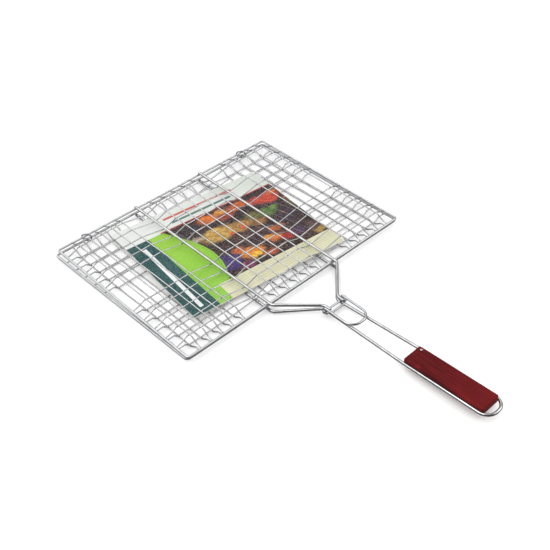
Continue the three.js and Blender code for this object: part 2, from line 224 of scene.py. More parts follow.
def tube(path, radius, sides, closed=False, scale=None, chamfer=True):
    """A round wire along a path, as (vertices, faces).

    Open ends are cut square, with a small worn edge if chamfer is set.
    """
    path = np.asarray(path, float)
    if closed:
        ahead, behind = np.roll(path, -1, 0), np.roll(path, 1, 0)
    else:
        ahead = np.vstack([path[1:], path[-1:]])
        behind = np.vstack([path[:1], path[:-1]])

    def units(rows):
        return rows / np.maximum(np.linalg.norm(rows, axis=1)[:, None], 1e-12)

    tangents = units(units(ahead - path) + units(path - behind))
    reference = np.array([0.0, 0.0, 1.0])
    if abs(tangents[0] @ reference) > 0.9:
        reference = np.array([1.0, 0.0, 0.0])
    normal = unit(reference - (reference @ tangents[0]) * tangents[0])
    count = len(path)
    radii = np.full(count, radius) if scale is None else radius * scale
    angles = 2 * math.pi * np.arange(sides) / sides
    rings = []
    for i, tangent in enumerate(tangents):
        if i:  # carry the normal round the bend without twist
            axis = np.cross(tangents[i - 1], tangent)
            sine = np.linalg.norm(axis)
            if sine > 1e-9:
                axis /= sine
                bend = math.atan2(sine, float(tangents[i - 1] @ tangent))
                normal = (normal * math.cos(bend) + np.cross(axis, normal) * math.sin(bend)
                          + axis * (axis @ normal) * (1 - math.cos(bend)))
        normal = unit(normal - (normal @ tangent) * tangent)
        side = np.cross(tangent, normal)
        circle = np.cos(angles)[:, None] * normal + np.sin(angles)[:, None] * side
        ring = path[i] + radii[i] * circle
        if not closed and chamfer and i in (0, count - 1):
            inward = tangent * (0.22 * radius) * (1 if i == 0 else -1)
            worn = path[i] + 0.8 * radii[i] * circle
            rings += [worn, ring + inward] if i == 0 else [ring + inward, worn]
        else:
            rings.append(ring)
    return np.concatenate(rings), ring_faces(len(rings), sides, closed)


def revolve(profile, sides):
    """A turned shape about the X axis. profile holds (x, radius)."""
    angles = [2 * math.pi * k / sides for k in range(sides)]
    verts = [(x, r * math.cos(a), r * math.sin(a)) for x, r in profile for a in angles]
    return np.array(verts), ring_faces(len(profile), sides)


def unit_sphere():
    bm = bmesh.new()
    bmesh.ops.create_icosphere(bm, subdivisions=2, radius=1.0)
    verts = np.array([v.co[:] for v in bm.verts])
    faces = [tuple(v.index for v in f.verts) for f in bm.faces]
    bm.free()
    return verts, faces


SPHERE_VERTS, SPHERE_FACES = unit_sphere()


def blob(centre, size, seed):
    """A small lump of weld, a little uneven."""
    g = random.Random(seed)
    size = np.array(size) * np.array([g.uniform(0.9, 1.12) for _ in range(3)])
    return SPHERE_VERTS * size + np.asarray(centre, float), SPHERE_FACES


def join(parts):
    verts, faces, base = [], [], 0
    for part_verts, part_faces in parts:
        verts.append(part_verts)
        faces += [tuple(i + base for i in face) for face in part_faces]
        base += len(part_verts)
    return np.concatenate(verts), faces


def solid_mesh(name, verts, faces):
    """A mesh with its faces turned outwards."""
    mesh = bpy.data.meshes.new(name)
    mesh.from_pydata(verts.tolist(), [], faces)
    mesh.update()
    bm = bmesh.new()
    bm.from_mesh(mesh)
    bmesh.ops.recalc_face_normals(bm, faces=bm.faces)
    bm.to_mesh(mesh)
    bm.free()
    return mesh


def add_object(name, data):
    obj = bpy.data.objects.new(name, data)
    SCENE.collection.objects.link(obj)
    return obj


def shade_smooth(mesh, sharp_degrees):
    mesh.polygons.foreach_set("use_smooth", [True] * len(mesh.polygons))
    mesh.set_sharp_from_angle(angle=math.radians(sharp_degrees))


def register(obj, node, body):
    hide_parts(node)
    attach(obj, body)


def piece(node, parts, material, body, sharp_degrees=40):
    """Make one look out of parts in millimetres."""
    verts, faces = join(parts)
    mesh = solid_mesh(node + "_look", verts * MM, faces)
    shade_smooth(mesh, sharp_degrees)
    mesh.materials.append(material)
    register(add_object(node + "_look", mesh), node, body)


# ------------------------------------------------------------- shader helpers


class Tree:
    """Builds shader nodes. Any input takes either a value or another node's output."""

    def __init__(self, owner):
        owner.use_nodes = True
        self.tree = owner.node_tree
        self.tree.nodes.clear()

    def put(self, socket, value):
        if isinstance(value, bpy.types.NodeSocket):
            self.tree.links.new(value, socket)
        elif socket.type == "RGBA":
            socket.default_value = (*value, 1)
        else:
            socket.default_value = value

    def new(self, kind, inputs=None, **settings):
        node = self.tree.nodes.new(kind)
        for name, value in settings.items():
            setattr(node, name, value)
        for key, value in (inputs or {}).items():
            self.put(node.inputs[key], value)
        return node

    def math(self, op, a, b=0.0, c=0.0):
        return self.new("ShaderNodeMath", {0: a, 1: b, 2: c}, operation=op).outputs[0]

    def distance(self, value, centre):
        return self.math("ABSOLUTE", self.math("SUBTRACT", value, centre))

    def vector(self, op, *values, output="Vector"):
        node = self.new("ShaderNodeVectorMath", dict(enumerate(values)), operation=op)
        return node.outputs[output]

    def span(self, value, over, to=(0.0, 1.0), kind="LINEAR"):
        """Map the range `over` on to the range `to`, held at both ends."""
        inputs = {"Value": value, "From Min": over[0], "From Max": over[1],
                  "To Min": to[0], "To Max": to[1]}
        return self.new("ShaderNodeMapRange", inputs, interpolation_type=kind).outputs[0]

    def fade(self, value, over, to=(0.0, 1.0)):
        """The same with soft ends."""
        return self.span(value, over, to, "SMOOTHSTEP")


class Material(Tree):
    def __init__(self, name):
        self.material = bpy.data.materials.new(name)
        super().__init__(self.material)
        out = self.new("ShaderNodeOutputMaterial")
        self.bsdf = self.new("ShaderNodeBsdfPrincipled")
        self.put(out.inputs[0], self.bsdf.outputs[0])

    def coord(self):
        return self.new("ShaderNodeTexCoord").outputs["Object"]

    def noise(self, vector, scale, detail=2.0, rough=0.5, stretch=None, color=False):
        """Noise at one scale, or at scale 1 on coordinates scaled by `stretch`."""
        if stretch:
            mapping = self.new("ShaderNodeMapping", {"Vector": vector, "Scale": stretch})
            vector = mapping.outputs[0]
        inputs = {"Vector": vector, "Scale": scale, "Detail": detail, "Roughness": rough}
        return self.new("ShaderNodeTexNoise", inputs).outputs[1 if color else 0]

    def streaks(self, vector, stretch, **settings):
        return self.noise(vector, 1.0, stretch=stretch, **settings)

    def cells(self, vector, scale, randomness=1.0):
        inputs = {"Vector": vector, "Scale": scale, "Randomness": randomness}
        return self.new("ShaderNodeTexVoronoi", inputs, feature="F1").outputs["Distance"]

    def ramp(self, value, stops):
        node = self.new("ShaderNodeValToRGB", {0: value})
        elements = node.color_ramp.elements
        while len(elements) < len(stops):
            elements.new(0.5)
        for element, (position, color) in zip(elements, stops):
            element.position = position
            element.color = (*color, 1)
        return node.outputs[0]

    def mix(self, factor, base, color):
        inputs = {0: factor, 6: base, 7: color}
        return self.new("ShaderNodeMix", inputs, data_type="RGBA", blend_type="MIX").outputs[2]

    def bump(self, height, distance, strength, normal=None):
        inputs = {"Height": height, "Distance": distance, "Strength": strength}
        if normal is not None:
            inputs["Normal"] = normal
        return self.new("ShaderNodeBump", inputs).outputs[0]

    def finish(self, **values):
        """Set the Principled inputs, named with underscores, and return the material."""
        for name, value in values.items():
            self.put(self.bsdf.inputs[name.replace("_", " ")], value)
        return self.material


# ------------------------------------------------------------------- materials


def chrome(name, bright, dull, rough):
    """Plated wire: faint draw marks, small dull patches and a little grime that dims the shine."""
    m = Material(name)
    at = m.coord()
    patches = m.noise(at, scale=95, detail=3, rough=0.6)
    fine = m.noise(at, scale=1500, rough=0.6)
    color = m.mix(m.fade(patches, over=(0.35, 0.68)), bright, dull)
    # each wire has a slightly different tone
    each = m.new("ShaderNodeObjectInfo").outputs["Random"]
    color = m.mix(m.span(each, over=(0, 1), to=(0, 0.22)), color, tuple(0.72 * c for c in dull))
    specks = m.fade(m.noise(at, scale=620, rough=0.7), over=(0.66, 0.74), to=(0, 0.5))
    color = m.mix(specks, color, color=(0.20, 0.19, 0.18))
    # mostly the patches, with some of the fine grain
    wear = m.math("ADD", m.math("MULTIPLY", patches, 0.7), m.math("MULTIPLY", fine, 0.3))
    roughness = m.span(wear, over=(0.3, 0.7), to=rough)
    normal = m.bump(fine, distance=0.00003, strength=0.6)
    normal = m.bump(m.noise(at, scale=210), distance=0.00012, strength=0.5, normal=normal)
    return m.finish(Base_Color=color, Metallic=1.0, Roughness=roughness, Normal=normal)


CHROME_THIN = chrome("chrome_thin_wire", bright=(0.80, 0.805, 0.815),
                     dull=(0.62, 0.625, 0.64), rough=(0.12, 0.26))
CHROME_HEAVY = chrome("chrome_heavy_wire", bright=(0.77, 0.775, 0.785),
                      dull=(0.60, 0.605, 0.615), rough=(0.08, 0.18))
CHROME_RIM = chrome("chrome_rim_wire", bright=(0.86, 0.865, 0.875),
                    dull=(0.70, 0.705, 0.715), rough=(0.24, 0.36))
CHROME_PIN = chrome("steel_pin_head", bright=(0.80, 0.78, 0.75),
                    dull=(0.62, 0.60, 0.57), rough=(0.16, 0.30))


def wood():
    """Dark red lacquer over a straight grain that runs along the grip, with painted shade round its
    edges.
    """
    m = Material("lacquered_wood")
    at = m.coord()
    broad = m.streaks(at, stretch=(14, 3, 14))
    wander = m.streaks(at, stretch=(30, 5, 30), color=True)
    warped = m.vector("MULTIPLY_ADD", wander, (0.004, 0.004, 0.004), at)
    grain = m.streaks(warped, stretch=(420, 11, 420), detail=5, rough=0.62)
    pores = m.streaks(at, stretch=(1900, 75, 1900), rough=0.6)
    color = m.ramp(m.span(grain, over=(0.26, 0.78)), [
        (0.0, (0.044, 0.0030, 0.0040)), (0.45, (0.084, 0.0050, 0.0062)),
        (0.8, (0.122, 0.0080, 0.0092)), (1.0, (0.160, 0.0130, 0.0140))])
    color = m.mix(m.fade(broad, over=(0.35, 0.7), to=(0, 0.45)), color,
                  color=(0.140, 0.0080, 0.0095))
    color = m.mix(m.fade(pores, over=(0.60, 0.72), to=(0, 0.75)), color,
                  color=(0.022, 0.0035, 0.0045))
    clouds = m.streaks(at, stretch=(55, 20, 55), detail=4, rough=0.65)
    color = m.mix(m.fade(clouds, over=(0.50, 0.66), to=(0, 0.7)), color,
                  color=(0.205, 0.0115, 0.0120))
    color = m.mix(m.fade(clouds, over=(0.44, 0.32), to=(0, 0.5)), color,
                  color=(0.048, 0.0030, 0.0042))
    # the lacquer is a little redder towards the loop
    along = m.new("ShaderNodeSeparateXYZ", {0: at}).outputs[1]
    color = m.mix(m.fade(along, over=(-0.37, -0.45), to=(0, 0.45)), color,
                  color=(0.180, 0.0095, 0.0105))
    # and painted shade: darker round the rounded edges, where the faces turn away from the light
    edge = m.new("ShaderNodeNewGeometry").outputs["Pointiness"]
    color = m.mix(m.fade(edge, over=(0.505, 0.56), to=(0, 0.7)), color,
                  color=(0.030, 0.0040, 0.0052))
    smear = m.streaks(at, stretch=(60, 18, 60), detail=3, rough=0.6)
    roughness = m.span(smear, over=(0.3, 0.72), to=(0.34, 0.52))
    # grain stands up and pores sink in
    height = m.math("ADD", m.math("MULTIPLY", grain, 0.5), m.math("MULTIPLY", pores, -0.5))
    normal = m.bump(height, distance=0.00013, strength=0.55)
    return m.finish(Base_Color=color, Roughness=roughness, Normal=normal, Specular_IOR_Level=0.07)


# soft patches of colour in the ember field, later ones on top:
# centre u, v and half sizes in mm, colour, strength
PATCHES = [
    ((-34, 46), (24, 19), (0.022, 0.022, 0.030), 0.95),
    ((4, 54), (20, 11), (0.86, 0.20, 0.016), 0.97),
    ((26, 56), (11, 8), (0.90, 0.42, 0.05), 0.9),
    ((56, 53), (22, 10), (0.72, 0.15, 0.030), 0.95),
    ((30, 43), (15, 10), (0.42, 0.05, 0.020), 0.85),
    ((82, 46), (14, 10), (0.60, 0.05, 0.028), 0.9),
    ((106, 42), (22, 14), (0.66, 0.060, 0.024), 0.97),
    ((118, 52), (10, 7), (0.80, 0.20, 0.040), 0.8),
    ((84, 12), (18, 12), (0.070, 0.170, 0.024), 0.97),
    ((98, 16), (8, 6), (0.150, 0.300, 0.045), 0.8),
    ((60, 18), (15, 11), (0.220, 0.210, 0.060), 0.75),
    ((-4, 14), (30, 19), (0.600, 0.360, 0.075), 0.92),
    ((-8, 24), (18, 8), (0.700, 0.440, 0.120), 0.8),
    ((32, 10), (22, 14), (0.520, 0.270, 0.060), 0.85),
    ((38, 6), (7, 6), (0.72, 0.060, 0.028), 0.95),
    ((12, 2), (7, 6), (0.70, 0.090, 0.035), 0.9),
    ((-38, 21), (11, 7), (0.560, 0.480, 0.360), 0.85),
    ((62, 0), (13, 9), (0.46, 0.20, 0.05), 0.75),
    ((104, -16), (24, 17), (0.030, 0.014, 0.034), 0.95),
    ((40, -26), (20, 11), (0.040, 0.014, 0.030), 0.85),
    ((72, -24), (12, 8), (0.62, 0.15, 0.03), 0.85),
    ((12, -50), (22, 13), (0.90, 0.270, 0.012), 0.98),
    ((16, -58), (12, 8), (0.96, 0.560, 0.030), 0.97),
    ((-4, -34), (13, 9), (0.70, 0.150, 0.030), 0.9),
    ((58, -42), (17, 11), (0.84, 0.200, 0.016), 0.95),
    ((50, -36), (9, 6), (0.92, 0.420, 0.040), 0.85),
    ((74, -52), (13, 9), (0.56, 0.035, 0.022), 0.92),
    ((34, -66), (13, 7), (0.60, 0.10, 0.022), 0.85),
    ((-28, -48), (20, 19), (0.060, 0.030, 0.200), 0.95),
    ((-10, -68), (14, 8), (0.26, 0.035, 0.150), 0.8),
    ((92, -50), (12, 10), (0.070, 0.030, 0.100), 0.85),
    ((118, -56), (14, 12), (0.110, 0.060, 0.060), 0.85),
    ((122, -70), (15, 7), (0.480, 0.300, 0.060), 0.92),
    ((126, 12), (8, 20), (0.130, 0.080, 0.030), 0.85),
]


def ember_field(m, flat, u, v):
    """Dark coals, the soft patches, crumbs and the bars of a grate."""
    # coordinates pushed about by up to 11 mm, so that outlines are ragged
    wobble = m.noise(flat, scale=42, detail=4, rough=0.62, color=True)
    ragged = m.vector("MULTIPLY_ADD", wobble, (0.022, 0.022, 0.0), flat)
    ragged = m.vector("ADD", ragged, (-0.011, -0.011, 0.0))
    coal = m.ramp(m.cells(ragged, scale=105, randomness=0.9), [
        (0.0, (0.044, 0.022, 0.036)), (0.45, (0.018, 0.010, 0.016)), (0.8, (0.007, 0.004, 0.007))])
    glow = m.fade(m.noise(flat, scale=60, detail=5, rough=0.7), over=(0.46, 0.68), to=(0, 0.75))
    field = m.mix(glow, coal, color=(0.130, 0.048, 0.030))
    for (cu, cv), (ru, rv), color, strength in PATCHES:
        offset = m.vector("SUBTRACT", ragged, (cu * MM, cv * MM, 0))
        scaled = m.vector("MULTIPLY", offset, (1 / (ru * MM), 1 / (rv * MM), 0))
        radius = m.vector("LENGTH", scaled, output="Value")
        field = m.mix(m.fade(radius, over=(1.15, 0.55), to=(0, strength)), field, color)
    crumbs = m.fade(m.cells(ragged, scale=260), over=(0.36, 0.66), to=(0, 0.42))
    field = m.mix(crumbs, field, color=(0.030, 0.010, 0.010))
    sparks = m.noise(ragged, scale=330, detail=3, rough=0.7)
    field = m.mix(m.fade(sparks, over=(0.62, 0.70), to=(0, 0.45)), field,
                  color=(0.80, 0.50, 0.22))
    # slanting bars, 13.5 mm apart, that show only here and there
    slant = m.math("ADD", u, m.math("MULTIPLY", v, 0.35))
    bars = m.math("FRACT", m.math("MULTIPLY", slant, 1 / 0.0135))
    bars = m.math("MULTIPLY",
                  m.fade(m.distance(bars, centre=0.5), over=(0.055, 0.02), to=(0, 0.55)),
                  m.fade(m.noise(flat, scale=16), over=(0.50, 0.60)))
    return m.mix(bars, field, color=(0.26, 0.22, 0.21))


def cream_strip(m, flat, u, v):
    """Cream paper with lines ruled 4.2 mm apart, in columns 46.5 mm wide."""
    cream = m.mix(m.noise(flat, scale=30), base=(0.68, 0.66, 0.45), color=(0.62, 0.61, 0.42))
    rule = m.math("FRACT", m.math("MULTIPLY", v, 1 / 0.0042))
    rule = m.span(m.distance(rule, centre=0.5), over=(0.10, 0.06))
    inside = m.math("MULTIPLY", m.span(v, over=(-0.106, -0.1055)),
                    m.span(v, over=(-0.0815, -0.082)))
    inside = m.math("MULTIPLY", inside, m.math(
        "MULTIPLY", m.span(u, over=(-0.058, -0.0575)), m.span(u, over=(0.124, 0.1235))))
    column = m.math("FRACT", m.math("MULTIPLY", u, 1 / 0.0465))
    gap = m.span(m.distance(column, centre=0.5), over=(0.03, 0.036))
    lines = m.math("MULTIPLY", m.math("MULTIPLY", rule, inside), m.math("MULTIPLY", gap, 0.55))
    return m.mix(lines, cream, color=(0.27, 0.27, 0.21))


def card_print():
    """A plain printed sheet: a dark band, a green panel, a pale header with a red rule, a field of
    glowing embers and vegetables, and a ruled cream strip. It carries no lettering."""
    m = Material("card_print")
    # card coordinates in metres, u across and v towards the hinge
    flat = m.new("ShaderNodeMapping", {
        "Vector": m.coord(), "Location": (CARD_CENTRE[0] * MM, CARD_CENTRE[1] * MM, 0),
        "Rotation": (0, 0, CARD_TURN)}, vector_type="TEXTURE").outputs[0]
    u, v = m.new("ShaderNodeSeparateXYZ", {0: flat}).outputs[:2]
    field = ember_field(m, flat, u, v)

    # green panel, with one side curved as a sine and a thin dark line inside it
    bend = m.math("SINE", m.math("MULTIPLY_ADD", v, -19.0, 1.15))
    curve = m.math("ADD", -0.064, m.math("MULTIPLY", 0.031, bend))
    green = m.ramp(m.span(v, over=(-0.111, 0.067)), [
        (0.0, (0.250, 0.520, 0.055)), (0.55, (0.235, 0.500, 0.030)), (1.0, (0.300, 0.560, 0.050))])
    edge = m.math("SUBTRACT", u, curve)
    sheet = m.mix(m.span(edge, over=(-0.0002, 0.0002), to=(1, 0)), field, green)
    line = m.span(m.distance(edge, centre=-0.0034), over=(0.0004, 0.0002), to=(0, 0.8))
    sheet = m.mix(line, sheet, color=(0.050, 0.110, 0.020))

    cream = cream_strip(m, flat, u, v)
    in_cream = m.math("MULTIPLY", m.span(v, over=(-0.0766, -0.0768)),
                      m.span(u, over=(-0.0667, -0.0665)))
    sheet = m.mix(in_cream, sheet, cream)

    # dark band down the -u side, its edge slightly askew, with a pale stripe
    band = m.mix(m.noise(flat, scale=25, detail=3), base=(0.010, 0.062, 0.064),
                 color=(0.015, 0.082, 0.081))
    band_edge = m.math("MULTIPLY_ADD", v, -0.03, -0.0900)
    in_band = m.span(m.math("SUBTRACT", u, band_edge), over=(0.0001, -0.0001))
    sheet = m.mix(in_band, sheet, band)
    across = m.math("ABSOLUTE", m.math("ADD", u, 0.1085))
    across = m.span(across, over=(0.0031, 0.0029))
    along = m.math("ABSOLUTE", m.math("ADD", v, 0.0235))
    stripe = m.math("MULTIPLY", across, m.span(along, over=(0.0745, 0.0743)))
    sheet = m.mix(stripe, sheet, color=(0.78, 0.80, 0.79))

    # pale header with a red rule along its lower edge
    header = m.mix(m.span(u, over=(-0.13, 0.13)), base=(0.72, 0.73, 0.72),
                   color=(0.60, 0.65, 0.58))
    header = m.mix(m.span(m.noise(flat, scale=14), over=(0.35, 0.65), to=(0, 0.3)), header,
                   color=(0.84, 0.85, 0.84))
    sheet = m.mix(m.span(v, over=(0.0672, 0.0674)), sheet, header)
    rule = m.math("MULTIPLY", m.span(m.distance(v, centre=0.0683), over=(0.0013, 0.0011)),
                  m.span(u, over=(-0.0705, -0.0700)))
    sheet = m.mix(rule, sheet, color=(0.42, 0.050, 0.040))
    # two plain bars where a title would be: centre v, centre u, fade across u, colour
    for bar_v, bar_u, half_u, color in (
            (0.0800, 0.0090, (0.0530, 0.0528), (0.10, 0.20, 0.17)),
            (0.0935, 0.0110, (0.0620, 0.0618), (0.55, 0.12, 0.09))):
        bar = m.math("MULTIPLY", m.span(m.distance(v, bar_v), over=(0.0024, 0.0022)),
                     m.span(m.distance(u, bar_u), over=half_u))
        sheet = m.mix(bar, sheet, color)

    # handled paper: faint mottling and paler worn edges
    mottling = m.noise(flat, scale=480, detail=3, rough=0.6)
    sheet = m.mix(m.span(mottling, over=(0.42, 0.62), to=(0, 0.10)), sheet,
                  color=(0.85, 0.85, 0.82))
    rim = m.math("MAXIMUM", m.math("SUBTRACT", m.math("ABSOLUTE", u), 0.1283),
                 m.math("SUBTRACT", m.math("ABSOLUTE", v), 0.1098))
    ragged = m.math("SUBTRACT", m.noise(flat, scale=210, detail=3, rough=0.6), 0.5)
    rim = m.math("ADD", rim, m.math("MULTIPLY", ragged, 0.0024))
    sheet = m.mix(m.fade(rim, over=(0.0, 0.0008), to=(0, 0.75)), sheet, color=(0.82, 0.81, 0.77))
    roughness = m.span(m.noise(flat, scale=40, detail=3, rough=0.6), over=(0.3, 0.7),
                       to=(0.34, 0.55))
    tooth = m.noise(flat, scale=900, detail=3, rough=0.6)
    normal = m.bump(tooth, distance=0.00003, strength=0.5)
    normal = m.bump(m.noise(flat, scale=22), distance=0.0012, strength=0.25, normal=normal)
    return m.finish(Base_Color=sheet, Roughness=roughness, Normal=normal, Specular_IOR_Level=0.10)


def board():
    """The card's unprinted back and cut edges."""
    m = Material("card_board")
    at = m.coord()
    fibre = m.streaks(at, stretch=(700, 240, 700), detail=4, rough=0.65)
    flecks = m.noise(at, scale=1300, rough=0.6)
    color = m.ramp(m.span(fibre, over=(0.3, 0.7)), [
        (0.0, (0.50, 0.48, 0.43)), (1.0, (0.66, 0.64, 0.59))])
    color = m.mix(m.span(flecks, over=(0.63, 0.70), to=(0, 0.5)), color, color=(0.30, 0.27, 0.22))
    return m.finish(Base_Color=color, Roughness=m.span(fibre, over=(0.3, 0.7), to=(0.75, 0.92)),
                    Normal=m.bump(fibre, distance=0.00005, strength=0.6))


WOOD, PRINT, BOARD = wood(), card_print(), board()

# ------------------------------------------------------------------ grid wires

WIRE_SWAY = 0.55
PASS_HALF = 2.6  # half the level stretch where a cross wire passes a strand
SKEW_START, SKEW_LENGTH = 186, 10  # cross wire ends bend sideways to meet a skewed rim


def share(half, y):
    """How far y lies on the way from the near rim to the far rim, from 0 to 1."""
    return (y - half.near) / (half.far - half.near)


def long_path(half):
    slope_top, slope_end = half.step_y
    points = [(0, half.near + END_GAP, half.end_z), (0, -slope_end, half.step_z),
              (0, -slope_top, half.long_z), (0, slope_top, half.long_z),
              (0, slope_end, half.step_z), (0, half.far - END_GAP, half.end_z)]
    return resample(fillet(points, 2.8, 5), 6.0)


def cross_path(half, end_x):
    side = [(end_x, 0, half.end_z), (half.step_x[1], 0, half.step_z),
            (half.step_x[0], 0, half.cross_z), (OUTER_X, 0, half.cross_z),
            (STRAND_X + PASS_HALF, 0, half.pass_z), (STRAND_X - PASS_HALF, 0, half.pass_z),
            (INNER_X, 0, half.cross_z)]
    radii = [2.6, 2.6, 26, 7, 7, 16]
    return resample(fillet(mirrored(side), radii + radii[::-1], 6), 6.0)


def long_wire(half, i, x, sway, lift):
    path = long_path(half)
    along = path[:, 1].copy()
    path[:, 0] = x + sway(along)
    path[:, 2] += lift(along + 30 * i)
    parts = [tube(half.to_world(path), THIN_R, 10)]
    for y in (half.far - half.weld_gap, half.near + half.weld_gap):
        centre = half.to_world((x + sway(y), y, half.weld_z))[0]
        parts.append(blob(centre, half.end_weld, half.seed + 13 * i + int(y)))
    piece(f"{half.body}_long_wire_{i + 1:02d}", parts, CHROME_THIN, half.body)


def cross_wire(half, j, y, sway, long_sways, lift):
    """A cross wire, with its welds to the long wires, the strands and the rim."""
    rim_x = half.near_half + share(half, y) * (half.far_half - half.near_half)
    skew = share(half, y) * half.shift
    end_x = rim_x - END_GAP
    path = cross_path(half, end_x)
    along = path[:, 0].copy()
    path[:, 1] = y + sway(along)
    path[:, 0] += skew * np.clip((np.abs(along) - SKEW_START) / SKEW_LENGTH, 0, 1)
    path[:, 2] += lift(y + 0.3 * along) * 0.6
    parts = [tube(half.to_world(path), THIN_R, 10)]

    def weld(centre, size, seed):
        parts.append(blob(half.to_world(centre)[0], size, half.seed + seed))

    for i, x in enumerate(LONG_X):
        weld((x + long_sways[i](y), y + sway(x), (half.long_z + half.cross_z) / 2),
             (1.12, 1.12, 0.62), 40 * i + j)
    weld_across, weld_along, weld_up = half.end_weld
    for side in (-1, 1):
        strand_x = side * STRAND_X
        weld((strand_x, y + sway(strand_x), half.pass_z + half.pass_weld), (1.5, 1.3, 0.8),
             3000 + j)
        weld((side * (rim_x - half.weld_gap) + skew, y + sway(side * end_x), half.weld_z),
             (weld_along, weld_across, weld_up), 3100 + j)
    piece(f"{half.body}_cross_wire_{j + 1:02d}", parts, CHROME_THIN, half.body)


def grid(half):
    long_sways = [wave(half.seed + i, WIRE_SWAY) for i in range(len(LONG_X))]
    cross_sways = [wave(half.seed + 100 + j, WIRE_SWAY) for j in range(len(CROSS_Y))]
    lift = wave(half.seed + 777, half.lift)
    for i, x in enumerate(LONG_X):
        long_wire(half, i, x, long_sways[i], lift)
    for j, y in enumerate(CROSS_Y):
        cross_wire(half, j, y, cross_sways[j], long_sways, lift)


grid(TRAY)
grid(LID)

# ------------------------------------------------------------------------ rims

SEAM_SWELL, SEAM_REACH = 0.07, 2.4  # where the rim's two ends are butt welded
SEAM_FINE_REACH, SEAM_STEP = 9.0, 0.8


def rim_path(half):
    """A rounded four-sided loop that starts in the middle of the +X side."""
    corners = [(half.far_half + half.shift, half.far, 0), (half.shift - half.far_half, half.far, 0),
               (-half.near_half, half.near, 0), (half.near_half, half.near, 0)]
    start = ((half.far_half + half.shift + half.near_half) / 2, (half.far + half.near) / 2, 0)
    return resample(fillet([start, *corners, start], half.corner, 12), 7.0)[:-1]


def rim(half):
    seam = np.array((*half.seam, 0.0))

    def pieces(a, b):
        close = min(np.linalg.norm(a - seam), np.linalg.norm(b - seam)) < SEAM_FINE_REACH
        return int(math.ceil(np.linalg.norm(b - a) / SEAM_STEP)) if close else 1

    loop = subdivide(rim_path(half), pieces)
    bow = wave(half.bow_seed, 0.35)
    loop[:, 1] += bow(loop[:, 0]) * (np.abs(loop[:, 0]) < 190)
    from_seam = np.linalg.norm(loop - seam, axis=1)
    swell = 1 + SEAM_SWELL * np.exp(-((from_seam / SEAM_REACH) ** 2))
    loop[:, 2] = half.rim_z
    piece(half.body + "_rim", [tube(half.to_world(loop), half.rim_r, 16, True, swell)],
          CHROME_RIM, half.body)


rim(TRAY)
rim(LID)

# ---------------------------------------------------------------- handle wire

STRAND_WELD = (1.9, 1.7, 0.8)


def handle_wire():
    """Both tray strands, the rails and the loop in one wire, and a short tie across the neck."""
    rail_y = GRIP_START + 3
    side = [(STRAND_X, 146.5, TRAY_HEAVY_Z), (STRAND_X, -153.5, TRAY_HEAVY_Z),
            (NECK_X, NECK_Y, NECK_Z), (RAIL_X, rail_y, rail_z(rail_y)),
            (RAIL_X, LOOP_END, rail_z(LOOP_END))]
    radii = [9, 12, 14, LOOP_CORNER]
    path = resample(fillet(mirrored(side), radii + radii[::-1], 14), 8.0)
    tie_z, tie_x = rail_z(TRAY_TIE_Y), NECK_X + 0.4
    tie = resample(np.array([(-tie_x, TRAY_TIE_Y, tie_z), (tie_x, TRAY_TIE_Y, tie_z)]), 3.0)
    parts = [tube(path, HEAVY_R, 18), tube(tie, TIE_R, 14)]
    for s in (-1, 1):
        parts.append(blob((s * (NECK_X - 1.6), TRAY_TIE_Y, tie_z), (1.3, 1.9, 1.7), 31 + s))
        for y in (TRAY.far, TRAY.near):
            parts.append(blob((s * STRAND_X, y, TRAY_RIM_Z - 1.95), STRAND_WELD, 61 + s))
    piece("handle_wire", parts, CHROME_HEAVY, "tray")


handle_wire()

# --------------------------------------------------------------- hinge rings

RING_Y, RING_Z, RING_R = 145.24, 10.85, 7.2


def hinge_ring(node, ring_x):
    """A nearly closed ring round both rims, turned askew, its ends slightly apart along X."""
    turn = Matrix.Rotation(math.radians(-15), 4, "Y") @ Matrix.Rotation(math.radians(40), 4, "Z")
    path = []
    for k in range(49):
        a = math.radians(-148 + 355 * k / 48)
        point = turn @ Vector(((k / 48 - 0.5) * 0.6, RING_R * math.cos(a), RING_R * math.sin(a)))
        path.append((ring_x + point.x, RING_Y + point.y, RING_Z + point.z))
    piece(node, [tube(path, RING_WIRE_R, 12)], CHROME_HEAVY, "tray")


hinge_ring("hinge_ring_left", -151.8)
hinge_ring("hinge_ring_right", 151.5)

# ------------------------------------------------------------------------ yoke

# one headed end of the pivot bar: x, radius
BAR_HEAD = [(-21.75, 0.3), (-21.6, 1.4), (-21.2, 2.3), (-20.7, 2.7), (-20.1, 2.7),
            (-19.9, 2.45), (-19.85, TIE_R)]


def lid_yoke():
    """The lid's two strands, and the pivot bar across their near ends."""
    parts = []
    for s in (1, -1):
        path = fillet([(s * STRAND_X, 145.8, LID_HEAVY_Z), (s * STRAND_X, -153, LID_HEAVY_Z),
                       (s * NECK_X, NECK_Y, YOKE_NECK_Z), (s * NECK_X, -212, YOKE_NECK_Z)],
                      [9, 12], 14)
        parts.append(tube(lid_to_world(resample(path, 8.0)), HEAVY_R, 18))
        for y in (LID.far, LID.near):
            centre = lid_to_world((s * STRAND_X, y, LID.rim_r + 0.05))[0]
            parts.append(blob(centre, STRAND_WELD, 71 + s))
        parts.append(blob((s * NECK_X, PIVOT_Y, PIVOT_Z + 0.9), (1.9, 1.7, 1.0), 81 + s))
    shaft = [(x, TIE_R) for x in np.linspace(-18, 18, 13)]
    verts, faces = revolve(BAR_HEAD + shaft + [(-x, r) for x, r in reversed(BAR_HEAD)], 24)
    parts.append((verts + (0, PIVOT_Y, PIVOT_Z), faces))
    piece("lid_yoke", parts, CHROME_HEAVY, "lid")


lid_yoke()

# ------------------------------------------------------------------------ bail

BAIL_X, EYE_R = 17.2, 3.7
BAIL_END, BAIL_END_Z, BAIL_CORNER = -255.5, 13.2, 15.0


